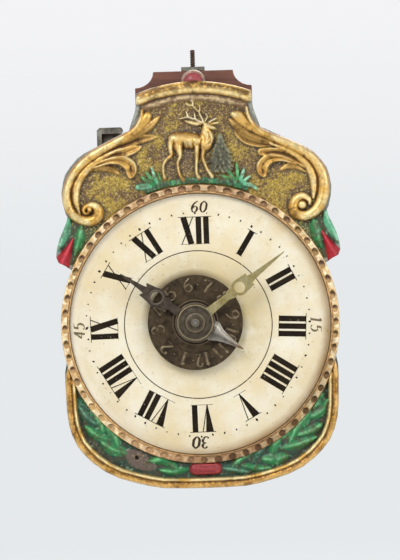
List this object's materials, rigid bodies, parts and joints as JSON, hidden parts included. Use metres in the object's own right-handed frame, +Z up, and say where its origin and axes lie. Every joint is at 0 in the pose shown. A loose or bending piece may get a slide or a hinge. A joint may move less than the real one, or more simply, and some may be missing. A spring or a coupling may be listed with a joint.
{
  "type": "wall clock",
  "caption": "Small alarm wall clock with a pressed metal shield in gilt relief, enamel dial, wooden case, wheelwork with lantern pinions, alarm disc and hammer; bell missing.",
  "frame": {"origin": "middle of the hanger hole, on the face that lies against the wall", "axes": "+Z up, +X to the right seen from the front, +Y toward the wall; the dial faces -Y"},
  "size_m": [0.1026, 0.0787, 0.1614],
  "materials": {
    "gilt_sheet": "aged gilding",
    "enamel": "glossy",
    "board": "worn stain",
    "case_wood": "waxed",
    "iron": "dark, worn",
    "steel": "satin",
    "brass": "satin",
    "bronzed": "dark patina",
    "oxidised": "oxidised",
    "pale_brass": "worn",
    "pewter": "dull"
  },
  "bodies": {
    "case": {"shield": "gilt_sheet", "dial": "enamel", "battens": "case_wood", "rivets": "brass", "front_board": "board", "back_board": "case_wood", "top_board": "case_wood", "bottom_board": "case_wood", "nails": "iron", "pintles": "iron", "front_plate": "brass", "rear_plate": "brass", "pillars": "brass", "centre_stud": "steel", "hand_nut": "oxidised", "pendulum_hook": "iron", "bell_strap": "iron", "bell_post": "steel", "hanger": "iron", "wall_spacers": "case_wood"},
    "left_leaf": {"left_door": "case_wood"},
    "right_leaf": {"right_door": "case_wood"},
    "great": {"great_wheel": "brass", "great_arbor": "steel", "great_sprocket": "brass", "click": "steel", "click_spring": "brass", "collet": "brass", "clutch_spring": "brass"},
    "second": {"second_wheel": "brass", "second_arbor": "steel", "second_pinion": "brass"},
    "escape": {"escape_arbor": "steel", "escape_pinion": "brass", "escape_wheel": "brass"},
    "swing": {"anchor": "steel", "anchor_arbor": "steel", "crutch": "steel"},
    "change": {"change_wheel": "brass", "change_wires": "steel"},
    "minute": {"minute_wheel": "brass", "minute_hand": "pale_brass"},
    "hour": {"hour_wheel": "brass", "hour_hand": "oxidised", "alarm_pointer": "pewter"},
    "alarm_setting": {"alarm_disc": "bronzed", "alarm_cam": "brass"},
    "alarm_drive": {"alarm_wheel": "brass", "alarm_arbor": "steel", "alarm_sprocket": "brass"},
    "striker": {"hammer_arbor": "steel", "hammer_pallets": "steel", "hammer": "iron"},
    "lever": {"release_lever": "iron"}
  },
  "joints": [
    {"name": "left_door_hinge", "type": "hinge", "parent": "case", "child": "left_leaf", "pos_m": [-0.0443, -0.0146, -0.0575], "axis": [0, 0, -1], "range_deg": [0, 100]},
    {"name": "right_door_hinge", "type": "hinge", "parent": "case", "child": "right_leaf", "pos_m": [0.0443, -0.0146, -0.0575], "axis": [0, 0, 1], "range_deg": [0, 100]},
    {"name": "second_turn", "type": "hinge", "parent": "case", "child": "second", "pos_m": [0.01165, -0.033, -0.06356], "axis": [0, 1, 0], "continuous": true},
    {"name": "great_turn", "type": "hinge", "parent": "case", "child": "great", "pos_m": [0.00719, -0.033, -0.08454], "axis": [0, 1, 0], "continuous": true},
    {"name": "escape_turn", "type": "hinge", "parent": "case", "child": "escape", "pos_m": [0.00653, -0.033, -0.04443], "axis": [0, 1, 0], "continuous": true},
    {"name": "anchor_swing", "type": "hinge", "parent": "case", "child": "swing", "pos_m": [0, -0.028, -0.02725], "axis": [0, 1, 0], "range_deg": [-2, 2]},
    {"name": "minute_turn", "type": "hinge", "parent": "case", "child": "minute", "pos_m": [-0.0018, -0.058, -0.0649], "axis": [0, 1, 0], "continuous": true},
    {"name": "hour_turn", "type": "hinge", "parent": "case", "child": "hour", "pos_m": [-0.0018, -0.058, -0.0649], "axis": [0, 1, 0], "continuous": true},
    {"name": "change_turn", "type": "hinge", "parent": "case", "child": "change", "pos_m": [0.00719, -0.048, -0.08454], "axis": [0, 1, 0], "continuous": true},
    {"name": "alarm_set", "type": "hinge", "parent": "hour", "child": "alarm_setting", "pos_m": [-0.0018, -0.058, -0.0649], "axis": [0, 1, 0], "continuous": true},
    {"name": "alarm_turn", "type": "hinge", "parent": "case", "child": "alarm_drive", "pos_m": [-0.021, -0.033, -0.0795], "axis": [0, 1, 0], "continuous": true},
    {"name": "hammer_swing", "type": "hinge", "parent": "case", "child": "striker", "pos_m": [-0.02461, -0.028, -0.06075], "axis": [0, 1, 0], "range_deg": [-3.5, 1], "stiffness_Nm_per_rad": 0.05},
    {"name": "lever_lift", "type": "hinge", "parent": "case", "child": "lever", "pos_m": [-0.022, -0.038, -0.0535], "axis": [0, 1, 0], "range_deg": [0, 8]}
  ],
  "couplings": [
    {"joint": "great_turn", "follows": "second_turn", "ratio": -0.083333},
    {"joint": "escape_turn", "follows": "second_turn", "ratio": -11},
    {"joint": "hour_turn", "follows": "minute_turn", "ratio": 0.083333},
    {"joint": "change_turn", "follows": "minute_turn", "ratio": -1}
  ]
}
